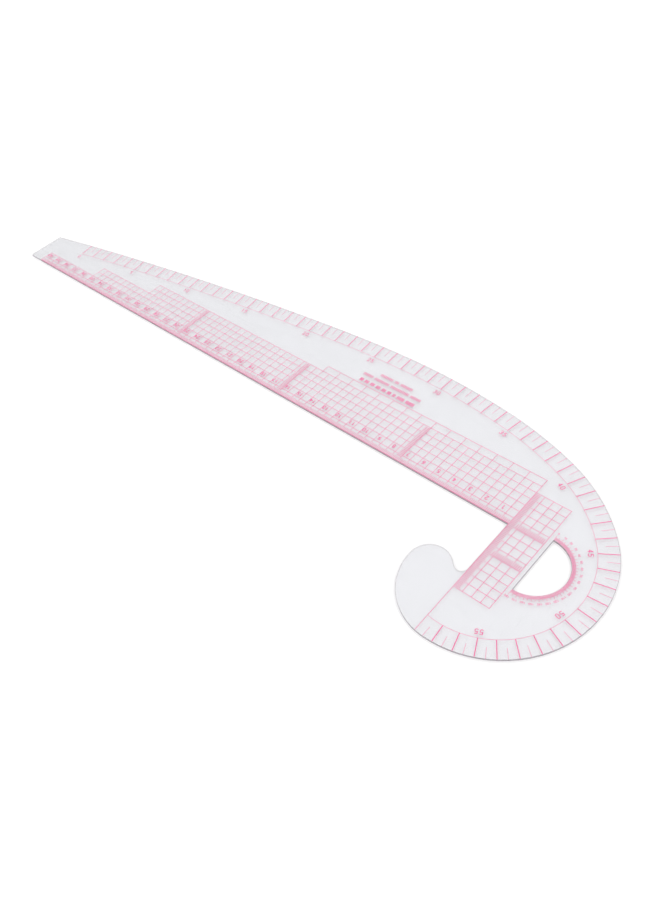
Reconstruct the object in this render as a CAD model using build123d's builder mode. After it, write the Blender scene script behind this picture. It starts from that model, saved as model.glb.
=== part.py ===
"""Clear sheet french curve with a hooked round end, a protractor window and printed scales.

Everything is drawn from the zero of the straight scale, beside the inner corner between the
long straight edge and the short upright edge: +X towards the round end, +Y towards the long
curve, +Z up off the table. At the end the pieces are moved so that the origin is the middle
of the underside.
"""

from build123d import *
from math import cos, degrees, radians, sin, tan
import os

os.makedirs("parts", exist_ok=True)

# ---- sheet ----
sheet_t = 1.2  # thickness of the plastic
edge_break = 0.15  # polished break round every cut edge
tip_x = -412.0  # square end of the blade
tip_h = 26.35  # height of that end
tip_r = 1.6  # its two corners
straight_y = 0.3  # long straight edge, cut just inside the scales' zero
upright_x = -0.4  # upright edge, cut just outside it
inner_r = 0.4  # the corner beside the scales' zero
notch_r = 3.7  # finger notch between the hook and the upright edge

# The long curve is a run of tangent arcs, flat at the tip and tighter round the hook.
curve_heading = 12.1  # degrees above +X where it leaves the tip
curve_arcs = (  # radius and length of each arc
    (2240.0, 250.9),
    (708.0, 52.1),
    (417.0, 71.6),
    (220.0, 46.3),
    (103.8, 52.6),
    (61.1, 61.6),
    (56.5, 71.4),
    (32.7, 52.9),
    (11.1, 25.0),
)
curve_len = sum(length for radius, length in curve_arcs)

# ---- protractor window ----
window_x = 22.4  # its straight side
window_y = -12.5  # centre of its half circle
window_r = 17.5
window_corner = 0.4

# ---- printing ----
ink_t = 0.03  # thickness of the ink film
line_w = 0.22  # grid and datum lines
base_w = 0.28  # base line along the straight edge
tick_w = 0.40  # centimetre ticks of the curve scale
half_w = 0.16  # half-centimetre ticks of the curve scale
inner_w = 0.14  # line that closes the curve scale on the inside
fine_w = 0.26  # millimetre ticks
degree_w = 0.14  # degree ticks
margin = 0.16  # bare plastic between a cut edge and the ink
cell = 5  # pitch of the grid
fine_h = 3.0  # length of a millimetre tick
scale_len = 400  # straight scale
bar_places = (-70, -160, -250)  # millimetre bars that cross the main grid
grid_rows = ((5, 400), (10, 400), (15, 350), (20, 350), (25, 300), (30, 300), (35, 150))
block_w = 20  # grid block on the round end
block_top = 25
block_bottom = -45
block_bars = (0, -20)  # millimetre bars that cross the block
curve_zero = 31.75  # along the curve from the tip to its zero tick
curve_cms = 57
curve_in = 10.15  # inner line of the curve scale, in from the edge
curve_half = 6.1  # inner end of a half-centimetre tick
print_low = 0.45  # the curve scale was printed this much low on the sheet
chord = 2.5  # straight pieces that the inner line is made of

# ---- numerals ----
edge_numeral_h = 2.8
edge_numeral_pitch = 2.1
edge_numeral_y = 7.65
edge_numeral_x = 2.05  # how far a numeral stands to the right of its line
curve_numeral_h = 3.0
curve_numeral_pitch = 2.35
curve_numeral_in = 13.4  # middle of a curve numeral, in from the edge
degree_numeral_h = 1.15
degree_numeral_pitch = 0.85
degree_numeral_r = 22.1
pen_w = 0.14  # stroke of a numeral 1 high
curve_pen_w = 0.11  # and on the curve scale

# ---- hatching where a maker's words would be ----
# Each row: middle, height and stroke of its upright strokes, left end, widths of its words.
hatch_gap = 1.3
hatch_pitch = 0.95
hatch_rows = (
    (47.4, 1.9, 0.42, -119.5, (9.0, 3.0, 8.5)),
    (43.0, 1.9, 0.42, -128.9, (7.0, 10.5, 13.0, 7.2)),
    (38.1, 2.4, 0.54, -127.7, (2.4, 2.8, 2.9, 3.0, 2.8, 2.4, 2.0, 5.0, 5.8)),
)


# ---- the long curve by arc length ----
def at_curve(s, depth=0.0):
    """Point a distance s along the long curve and depth inside it, and the heading there."""
    x, y, heading = tip_x, tip_h, curve_heading
    for radius, length in curve_arcs:
        step = min(s, length)
        turn = degrees(step / radius)
        x += radius * (sin(radians(heading)) - sin(radians(heading - turn)))
        y += radius * (cos(radians(heading - turn)) - cos(radians(heading)))
        heading -= turn
        s -= step
        if s <= 0:
            break
    return x + depth * sin(radians(heading)), y - depth * cos(radians(heading)), heading


def s_at_datum(depth):
    """Distance along the curve to where, depth inside it, it passes below the scales' zero."""
    low, high = 560.0, 640.0
    while high - low > 1e-6:
        middle = (low + high) / 2
        if at_curve(middle, depth)[0] > 0:
            low = middle
        else:
            high = middle
    return low


def draw_curve():
    """Draws the long curve in the current BuildLine."""
    done = 0.0
    for radius, length in curve_arcs:
        x, y, heading = at_curve(done)
        ahead = (cos(radians(heading)), sin(radians(heading)))
        JernArc((x, y), ahead, radius, -degrees(length / radius))
        done += length


def print_depth(s, depth):
    """How far inside the edge print meant for this depth comes, a distance s along the curve."""
    return depth + print_low * cos(radians(at_curve(s)[2]))


def inner_line_side(depth):
    """Corners of one side of the curve scale's inner line, which runs in short straight chords."""
    end = s_at_datum(curve_in) - 2 * line_w
    chords = round((end - curve_zero) / chord)
    step = (end - curve_zero) / chords
    places = [curve_zero + step * corner for corner in range(chords + 1)]
    return [at_curve(s, print_depth(s, depth))[:2] for s in places]


# ---- numerals ----
# Each digit is the strokes of a round pen, 1 high without the pen's width and centred: rings as
# (middle, radius), then lines and arcs through two or three points.
w, top, low = 0.22, 0.42, -0.42
digit_rings = {
    "6": [((0, -0.2), w)],
    "8": [((0, 0.22), 0.2), ((0, -0.2), w)],
    "9": [((0, 0.2), w)],
}
digit_strokes = {
    "0": [
        ((-w, 0.2), (0, top), (w, 0.2)),
        ((w, 0.2), (w, -0.2)),
        ((w, -0.2), (0, low), (-w, -0.2)),
        ((-w, -0.2), (-w, 0.2)),
    ],
    "1": [((-0.14, 0.26), (0.04, top)), ((0.04, top), (0.04, low))],
    "2": [((-w, 0.2), (0.02, top), (0.17, 0.06)), ((0.17, 0.06), (-w, low)), ((-w, low), (w, low))],
    "3": [((-0.2, 0.27), (0.19, 0.24), (-0.04, 0.03)), ((-0.04, 0.03), (w, -0.2), (-w, -0.25))],
    "4": [((0.1, low), (0.1, top)), ((0.1, top), (-w, -0.16)), ((-w, -0.16), (0.26, -0.16))],
    "5": [((0.2, top), (-0.17, top)), ((-0.17, top), (-0.2, 0.05)), ((-0.2, 0.05), (w, -0.14), (-w, -0.3))],
    "6": [((0.14, top), (-0.15, 0.14), (-w, -0.2))],
    "7": [((-w, top), (w, top)), ((w, top), (-0.06, low))],
    "8": [],
    "9": [((-0.14, low), (0.15, -0.14), (w, 0.2))],
}


def draw_stroke(points, pen):
    """One stroke of a pen this wide in the current sketch, with round ends."""
    with BuildLine() as path:
        if len(points) == 2:
            Line(*points)
        else:
            ThreePointArc(*points)
    trace(path.line, line_width=pen)
    with Locations(points[0], points[-1]):
        Circle(pen / 2)


def make_digits(height, pen=pen_w):
    """The ten digits as flat shapes of this height."""
    digits = {}
    for digit, strokes in digit_strokes.items():
        rings = digit_rings.get(digit, [])
        with BuildSketch() as shape:
            for centre, radius in rings:
                with Locations(centre):
                    Circle(radius + pen / 2)
            for centre, radius in rings:
                with Locations(centre):
                    Circle(radius - pen / 2, mode=Mode.SUBTRACT)
            for points in strokes:
                draw_stroke(points, pen)
        digits[digit] = scale(shape.sketch, height)
    return digits


def place_number(number, digits, x, y, angle, pitch):
    """Sets a number in the current sketch, centred on x, y with its baseline at angle."""
    text = str(number)
    for place, digit in enumerate(text):
        along = (place - (len(text) - 1) / 2) * pitch
        spot = Location((x + along * cos(radians(angle)), y + along * sin(radians(angle))), angle)
        add(digits[digit].moved(spot))


# ---- printed lines ----
def cross_line(x, low, high, width):
    """A line that runs in Y."""
    with Locations((x, (low + high) / 2)):
        Rectangle(width, high - low)


def along_line(y, left, right, width):
    """A line that runs in X."""
    with Locations(((left + right) / 2, y)):
        Rectangle(right - left, width)


def off_grid(first, last):
    """Whole millimetres from first to last that no grid line takes."""
    return [mm for mm in range(first, last + 1) if mm % cell]


def grid_top(x):
    """How high the main grid stands at x."""
    if x % 10 == 0 and x >= -grid_rows[-1][1]:
        return grid_rows[-1][0]
    return max(y for y, reach in grid_rows[:-1] if x >= -reach)


ink_plane = Plane.XY.offset(sheet_t)
base_y = straight_y + margin  # where the straight scale and the grid start
edge_digits = make_digits(edge_numeral_h)
curve_digits = make_digits(curve_numeral_h, curve_pen_w)
small_digits = make_digits(degree_numeral_h)

# ---- the sheet ----
with BuildPart() as sheet:
    with BuildSketch() as outline:
        with BuildLine():
            head_x, head_y, head_heading = at_curve(curve_len)
            notch_y = head_y + (upright_x - head_x) * tan(radians(head_heading))
            Polyline((upright_x, straight_y), (tip_x, straight_y), (tip_x, tip_h))
            draw_curve()
            Polyline((head_x, head_y), (upright_x, notch_y), (upright_x, straight_y))
        make_face()
        corners = outline.vertices()
        fillet(corners.filter_by_position(Axis.X, tip_x - 1, tip_x + 1), tip_r)
        fillet(outline.vertices().sort_by_distance((upright_x, notch_y))[0], notch_r)
        fillet(outline.vertices().sort_by_distance((upright_x, straight_y))[0], inner_r)
        with BuildSketch(mode=Mode.SUBTRACT) as window:
            with BuildLine():
                side = Line((window_x, window_y - window_r), (window_x, window_y + window_r))
                RadiusArc(side @ 1, side @ 0, window_r)
            make_face()
            fillet(window.vertices(), window_corner)
    extrude(amount=sheet_t)
    rims = sheet.faces().filter_by(Axis.Z).edges()
    chamfer(rims, edge_break)

# ---- straight scale: millimetre ticks and numerals, which stand on their heads ----
with BuildPart() as edge_ticks:
    with BuildSketch(ink_plane):
        for mm in off_grid(-scale_len, 0):
            cross_line(mm, base_y + base_w, fine_h, fine_w)
    extrude(amount=ink_t)

with BuildPart() as edge_numerals:
    with BuildSketch(ink_plane):
        for centimetre in range(1, scale_len // 10 + 1):
            x = edge_numeral_x - 10 * centimetre
            place_number(centimetre, edge_digits, x, edge_numeral_y, 180, edge_numeral_pitch)
    extrude(amount=ink_t)

# ---- main grid, which stands on a base line, and the millimetre bars across it ----
with BuildPart() as main_grid:
    with BuildSketch(ink_plane):
        along_line(base_y + base_w / 2, -scale_len, 0, base_w)
        for x in range(-scale_len, 1, cell):
            cross_line(x, base_y, grid_top(x) + line_w / 2, line_w)
        for y, reach in grid_rows:
            along_line(y, -reach, 0, line_w)
    extrude(amount=ink_t)

with BuildPart() as grid_bars:
    with BuildSketch(ink_plane):
        for bar_x in bar_places:
            for y in off_grid(int(fine_h) + 1, 30):
                along_line(y, bar_x - fine_h, bar_x - line_w / 2, fine_w)
    extrude(amount=ink_t)

# ---- grid block on the round end, its millimetre bars and the line down its left side ----
with BuildPart() as block_grid:
    with BuildSketch(ink_plane):
        for x in range(cell, block_w + 1, cell):
            cross_line(x, block_bottom - line_w / 2, block_top + line_w / 2, line_w)
        for y in range(block_bottom, block_top + 1, cell):
            along_line(y, line_w / 2, block_w, line_w)
    extrude(amount=ink_t)

with BuildPart() as block_ticks:
    with BuildSketch(ink_plane):
        for y in off_grid(block_bottom, block_top):
            along_line(y, line_w / 2, fine_h, fine_w)
        for base in block_bars:
            for x in off_grid(int(fine_h) + 1, block_w):
                cross_line(x, base + line_w / 2, base + fine_h, fine_w)
    extrude(amount=ink_t)

with BuildPart() as datum_line:
    with BuildSketch(ink_plane):
        below = at_curve(s_at_datum(0))[1]
        cross_line(0, below + margin, base_y, line_w)
    extrude(amount=ink_t)

# ---- curve scale ----
with BuildPart() as curve_ticks:
    with BuildSketch(ink_plane):
        for half in range(2 * curve_cms + 2):
            s = curve_zero + 5 * half
            depth, width = (curve_half, half_w) if half % 2 else (curve_in, tick_w)
            length = print_depth(s, depth) - margin
            x, y, heading = at_curve(s, margin + length / 2)
            with Locations(Location((x, y), heading)):
                Rectangle(width, length)
        with BuildLine():
            outer_side = inner_line_side(curve_in - inner_w / 2)
            inner_side = inner_line_side(curve_in + inner_w / 2)
            Polyline(*outer_side, *reversed(inner_side), close=True)
        make_face()
    extrude(amount=ink_t)

with BuildPart() as curve_numerals:
    with BuildSketch(ink_plane):
        for centimetre in range(0, curve_cms + 1, 5):
            s = curve_zero + 10 * centimetre
            x, y, heading = at_curve(s, print_depth(s, curve_numeral_in))
            place_number(centimetre, curve_digits, x, y, heading, curve_numeral_pitch)
    extrude(amount=ink_t)

# ---- protractor round the window, 0 at the top and 180 at the bottom ----
with BuildPart() as degree_ticks:
    with BuildSketch(ink_plane):
        for degree in range(181):
            length = 3.1 if degree % 10 == 0 else 2.7 if degree % 5 == 0 else 1.8
            with Locations((window_x, window_y)):
                with PolarLocations(window_r + margin + length / 2, 1, 90 - degree):
                    Rectangle(length, degree_w)
    extrude(amount=ink_t)

with BuildPart() as degree_numerals:
    with BuildSketch(ink_plane):
        for degree in range(0, 181, 10):
            x = window_x + degree_numeral_r * sin(radians(degree))
            y = window_y + degree_numeral_r * cos(radians(degree))
            place_number(degree, small_digits, x, y, -degree, degree_numeral_pitch)
    extrude(amount=ink_t)

# ---- plain hatching where a maker's words would be ----
with BuildPart() as name_bars:
    with BuildSketch(ink_plane):
        for y, height, stroke, left, words in hatch_rows:
            for width in words:
                count = round(width / hatch_pitch)
                for place in range(count):
                    x = left + (place + 0.5) * width / count
                    cross_line(x, y - height / 2, y + height / 2, stroke)
                left += width + hatch_gap
    extrude(amount=ink_t)

# ---- origin to the middle of the underside, and out ----
middle = sheet.part.bounding_box().center()
pieces = {
    "sheet": sheet,
    "edge_ticks": edge_ticks,
    "edge_numerals": edge_numerals,
    "main_grid": main_grid,
    "grid_bars": grid_bars,
    "block_grid": block_grid,
    "block_ticks": block_ticks,
    "datum_line": datum_line,
    "curve_ticks": curve_ticks,
    "curve_numerals": curve_numerals,
    "degree_ticks": degree_ticks,
    "degree_numerals": degree_numerals,
    "name_bars": name_bars,
}
for label, piece in pieces.items():
    placed = piece.part.moved(Location((-middle.X, -middle.Y, 0)))
    placed.label = label
    export_step(placed, f"parts/{label}.step")
print("zero of the scales at", -middle.X, -middle.Y)
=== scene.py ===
import bpy
from math import radians
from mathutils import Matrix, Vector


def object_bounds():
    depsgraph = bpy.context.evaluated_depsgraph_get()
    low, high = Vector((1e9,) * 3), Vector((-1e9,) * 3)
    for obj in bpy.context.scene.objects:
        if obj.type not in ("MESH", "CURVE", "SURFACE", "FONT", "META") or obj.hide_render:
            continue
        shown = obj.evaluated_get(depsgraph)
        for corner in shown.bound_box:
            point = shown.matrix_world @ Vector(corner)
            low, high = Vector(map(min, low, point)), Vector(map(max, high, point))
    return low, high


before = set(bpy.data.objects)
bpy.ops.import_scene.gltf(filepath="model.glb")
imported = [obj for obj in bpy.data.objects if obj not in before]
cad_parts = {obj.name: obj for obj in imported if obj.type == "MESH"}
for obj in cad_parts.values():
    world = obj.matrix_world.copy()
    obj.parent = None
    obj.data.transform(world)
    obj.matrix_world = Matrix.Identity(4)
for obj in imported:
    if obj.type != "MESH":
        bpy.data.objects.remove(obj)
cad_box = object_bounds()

# ---------------------------------------------------------------- clear plastic
# a tint is the share of each colour that gets through
SHEET_TINT = (0.9555, 0.9565, 0.965)  # one face of the sheet
SHEET_CLOUDED = 0.994  # and how much of that is left where the sheet is cloudy
SHEET_HAZE = (0.97, 0.975, 0.99)  # colour of the faint milkiness in the plastic
HAZE_SHARE = 0.09
HAZE_CHANGE = 0.15  # how far the clouds thin and thicken it
EDGE_OUTSIDE_PAINTED_SHADE = (0.38, 0.33, 0.365)  # painted shade: a cut edge seen from outside, darkened in place of the dark look refraction gives it
EDGE_SAWN = 0.85  # and how much of that is left in the saw's marks
EDGE_INSIDE_PAINTED_SHADE = (0.80, 0.79, 0.80)  # painted shade, lighter: a cut edge seen through the sheet
GLANCE_LOSS = 0.42  # how much less light a face lets through at a glance
GLANCE_POWER = 3.0
MIRROR_AHEAD = 0.045  # how much a face mirrors, looked at straight on
MIRROR_GLANCE = 0.95  # and how much more at a glance
MIRROR_POWER = 5.0
ROUGHNESS = (0.08, 0.16)  # between the streaks and in them
SCRATCH_HAZE = 0.025
SCRATCH_ROUGHNESS = 0.15
SHEET_BUMP = 0.00002

# noise scales per metre, how each pattern is stretched, and where most of a noise's values lie
NOISE_MIDDLE = (0.3, 0.7)
CLOUD_SCALE = 22.0
STREAK_SCALE = 260.0
STREAK_STRETCH = (0.05, 1.0, 1.0)
LONG_SCRATCH_SCALE = 1500.0
LONG_SCRATCH_STRETCH = (0.02, 1.0, 1.0)
CROSS_SCRATCH_SCALE = 1200.0
CROSS_SCRATCH_STRETCH = (1.0, 0.03, 1.0)
SAW_SCALE = 900.0
SAW_STRETCH = (1.0, 1.0, 0.15)

# ---------------------------------------------------------------- ink
INK_DEEP = (0.74, 0.052, 0.25)
INK_THIN = (0.87, 0.112, 0.35)
INK_PATCH_SCALE = 60.0
INK_GRAIN_SCALE = 5200.0
PATCH_SHARE = 0.45  # how much of the thinning comes in patches
GRAIN_SHARE = 0.55  # and how much in pinholes
INK_ROUGHNESS = (0.36, 0.52)
INK_BUMP = 0.00001

# ---------------------------------------------------------------- floor, light and camera
FLOOR_GAP = 0.0001  # the floor's depth below the sheet's underside
FLOOR_HALF = 6.0
FLOOR_SCALE = 40.0
FLOOR_DARK = (0.93, 0.93, 0.93)
FLOOR_PALE = (0.95, 0.95, 0.95)
WORLD_LIGHT = 1.2
LENS = 34.7532
CAMERA_PLACE = (0.3112696, -0.225163, 0.347336)
CAMERA_TURN = (42.5017, 6.2016, 41.664)
BLACK = (0.0, 0.0, 0.0)


def dimmed(colour, share):
    return tuple(channel * share for channel in colour)


# ---------------------------------------------------------------- node helpers
class Nodes:
    """Adds nodes to one material's tree."""

    def __init__(self, name):
        self.material = bpy.data.materials.new(name)
        self.material.use_nodes = True
        self.tree = self.material.node_tree
        self.tree.nodes.clear()

    def put(self, kind, **settings):
        node = self.tree.nodes.new(kind)
        for key, value in settings.items():
            setattr(node, key, value)
        return node

    def join(self, out, into):
        self.tree.links.new(out, into)

    def noise(self, place, scale, detail, stretch=(1, 1, 1)):
        mapping = self.put("ShaderNodeMapping")
        mapping.inputs["Scale"].default_value = stretch
        self.join(place, mapping.inputs["Vector"])
        node = self.put("ShaderNodeTexNoise")
        node.inputs["Scale"].default_value = scale
        node.inputs["Detail"].default_value = detail
        self.join(mapping.outputs["Vector"], node.inputs["Vector"])
        return node.outputs["Fac"]

    def remap(self, value, low, high, to_low=0.0, to_high=1.0):
        node = self.put("ShaderNodeMapRange")
        node.inputs["From Min"].default_value = low
        node.inputs["From Max"].default_value = high
        node.inputs["To Min"].default_value = to_low
        node.inputs["To Max"].default_value = to_high
        self.join(value, node.inputs["Value"])
        return node.outputs["Result"]

    def math(self, operation, *values):
        node = self.put("ShaderNodeMath", operation=operation)
        for socket, value in zip(node.inputs, values):
            if isinstance(value, (int, float)):
                socket.default_value = value
            else:
                self.join(value, socket)
        return node.outputs["Value"]

    def mix_colour(self, share, first, second):
        node = self.put("ShaderNodeMix", data_type="RGBA")
        self.join(share, node.inputs["Factor"])
        for socket, value in zip(node.inputs[6:8], (first, second)):  # its two colours
            if isinstance(value, tuple):
                socket.default_value = (*value, 1)
            else:
                self.join(value, socket)
        return node.outputs[2]

    def mix_shader(self, share, first, second):
        node = self.put("ShaderNodeMixShader")
        self.join(share, node.inputs["Fac"])
        self.join(first, node.inputs[1])
        self.join(second, node.inputs[2])
        return node.outputs["Shader"]

    def bump(self, height, strength, distance):
        node = self.put("ShaderNodeBump")
        node.inputs["Strength"].default_value = strength
        node.inputs["Distance"].default_value = distance
        self.join(height, node.inputs["Height"])
        return node.outputs["Normal"]

    def finish(self, shader):
        output = self.put("ShaderNodeOutputMaterial")
        self.join(shader, output.inputs["Surface"])
        return self.material


def make_plastic():
    """Clear rolled PVC: finely scratched faces with a faint haze, and painted shade on the cut
    edges.
    """
    n = Nodes("clear_pvc")
    place = n.put("ShaderNodeTexCoord").outputs["Object"]
    surface = n.put("ShaderNodeNewGeometry")
    normal = n.put("ShaderNodeSeparateXYZ")
    n.join(surface.outputs["Normal"], normal.inputs["Vector"])
    # 1 on the two faces and 0 on the walls, which get the painted edge shade, with the broken
    # edges between
    flat = n.remap(n.math("ABSOLUTE", normal.outputs["Z"]), 0.6, 0.98)

    # rolled sheet: long faint streaks along it, and a cloudiness a few centimetres across
    cloud = n.noise(place, CLOUD_SCALE, 4.0)
    streak = n.noise(place, STREAK_SCALE, 2.0, STREAK_STRETCH)
    long_scratch = n.noise(place, LONG_SCRATCH_SCALE, 1.0, LONG_SCRATCH_STRETCH)
    cross_scratch = n.noise(place, CROSS_SCRATCH_SCALE, 1.0, CROSS_SCRATCH_STRETCH)
    scratches = n.math(
        "MAXIMUM",
        n.remap(long_scratch, 0.66, 0.70),
        n.remap(cross_scratch, 0.68, 0.72),
    )
    saw = n.noise(place, SAW_SCALE, 2.0, SAW_STRETCH)

    # what gets through: painted shade on the cut edges, darker from outside than through the
    # sheet
    clouded = n.remap(cloud, 0.35, 0.65)
    face_tint = n.mix_colour(clouded, SHEET_TINT, dimmed(SHEET_TINT, SHEET_CLOUDED))
    sawn = n.remap(saw, *NOISE_MIDDLE)
    edge_painted_shade = n.mix_colour(sawn, EDGE_OUTSIDE_PAINTED_SHADE, dimmed(EDGE_OUTSIDE_PAINTED_SHADE, EDGE_SAWN))
    wall_painted_shade = n.mix_colour(surface.outputs["Backfacing"], edge_painted_shade, EDGE_INSIDE_PAINTED_SHADE)
    # a face mirrors a little, and more at a glance, when less light comes through
    facing = n.put("ShaderNodeLayerWeight").outputs["Facing"]
    loss = n.math("MULTIPLY", n.math("POWER", facing, GLANCE_POWER), GLANCE_LOSS)
    face_tint = n.mix_colour(loss, face_tint, BLACK)
    clear = n.put("ShaderNodeBsdfTransparent")
    # the walls let through only the painted edge shade, the faces their own tint
    n.join(n.mix_colour(flat, wall_painted_shade, face_tint), clear.inputs["Color"])

    haze = n.put("ShaderNodeBsdfDiffuse")
    haze.inputs["Color"].default_value = (*SHEET_HAZE, 1)
    thin_haze = HAZE_SHARE * (1 - HAZE_CHANGE)
    thick_haze = HAZE_SHARE * (1 + HAZE_CHANGE)
    haze_share = n.math(
        "ADD",
        n.remap(cloud, *NOISE_MIDDLE, thin_haze, thick_haze),
        n.math("MULTIPLY", scratches, SCRATCH_HAZE),
    )
    body = n.mix_shader(haze_share, clear.outputs["BSDF"], haze.outputs["BSDF"])

    roughness = n.math(
        "ADD",
        n.remap(streak, *NOISE_MIDDLE, *ROUGHNESS),
        n.math("MULTIPLY", scratches, SCRATCH_ROUGHNESS),
    )
    height = n.math("ADD", n.math("MULTIPLY", cloud, 0.5), scratches)
    gloss = n.put("ShaderNodeBsdfAnisotropic")
    gloss.inputs["Color"].default_value = (1, 1, 1, 1)
    n.join(roughness, gloss.inputs["Roughness"])
    n.join(n.bump(height, 0.2, SHEET_BUMP), gloss.inputs["Normal"])
    glance = n.math("POWER", facing, MIRROR_POWER)
    mirror = n.math("MULTIPLY_ADD", glance, MIRROR_GLANCE, MIRROR_AHEAD)
    return n.finish(n.mix_shader(mirror, body, gloss.outputs["BSDF"]))


def make_ink():
    """Screen-printed vinyl ink: uneven density, pinholes of thin ink, a soft satin skin."""
    n = Nodes("screen_ink")
    place = n.put("ShaderNodeTexCoord").outputs["Object"]
    patch = n.noise(place, INK_PATCH_SCALE, 3.0)
    grain = n.noise(place, INK_GRAIN_SCALE, 2.0)
    thinness = n.math(
        "ADD",
        n.remap(patch, *NOISE_MIDDLE, 0.0, PATCH_SHARE),
        n.remap(grain, 0.42, 0.72, 0.0, GRAIN_SHARE),
    )
    skin = n.put("ShaderNodeBsdfPrincipled")
    n.join(n.mix_colour(thinness, INK_DEEP, INK_THIN), skin.inputs["Base Color"])
    n.join(n.remap(grain, *NOISE_MIDDLE, *INK_ROUGHNESS), skin.inputs["Roughness"])
    n.join(n.bump(grain, 0.35, INK_BUMP), skin.inputs["Normal"])
    return n.finish(skin.outputs["BSDF"])


def make_floor():
    """Plain white floor, very slightly mottled."""
    n = Nodes("white_floor")
    place = n.put("ShaderNodeTexCoord").outputs["Object"]
    mottle = n.noise(place, FLOOR_SCALE, 4.0)
    paper = n.put("ShaderNodeBsdfDiffuse")
    n.join(n.mix_colour(mottle, FLOOR_DARK, FLOOR_PALE), paper.inputs["Color"])
    return n.finish(paper.outputs["BSDF"])


# ---------------------------------------------------------------- materials on the CAD nodes
plastic = make_plastic()
ink = make_ink()
for name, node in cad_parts.items():
    node.data.materials.clear()
    node.data.materials.append(plastic if name == "sheet" else ink)

# ---------------------------------------------------------------- floor
floor_z = cad_box[0].z - FLOOR_GAP
corners = [
    (x * FLOOR_HALF, y * FLOOR_HALF, floor_z)
    for x, y in ((-1, -1), (1, -1), (1, 1), (-1, 1))
]
floor_mesh = bpy.data.meshes.new("floor")
floor_mesh.from_pydata(corners, [], [(0, 1, 2, 3)])
floor = bpy.data.objects.new("floor", floor_mesh)
floor.data.materials.append(make_floor())
scene = bpy.context.scene
scene.collection.objects.link(floor)

# ---------------------------------------------------------------- light
world = bpy.data.worlds.new("studio")
world.use_nodes = True
background = world.node_tree.nodes["Background"]
background.inputs["Color"].default_value = (1, 1, 1, 1)
background.inputs["Strength"].default_value = WORLD_LIGHT
scene.world = world
scene.view_settings.view_transform = "Standard"

# ---------------------------------------------------------------- camera
camera_data = bpy.data.cameras.new("camera")
camera_data.lens = LENS
camera_data.sensor_width = 36.0
camera_data.clip_start = 0.01
camera_data.clip_end = 20.0
camera = bpy.data.objects.new("camera", camera_data)
camera.location = CAMERA_PLACE
camera.rotation_euler = [radians(angle) for angle in CAMERA_TURN]
scene.collection.objects.link(camera)
scene.camera = camera
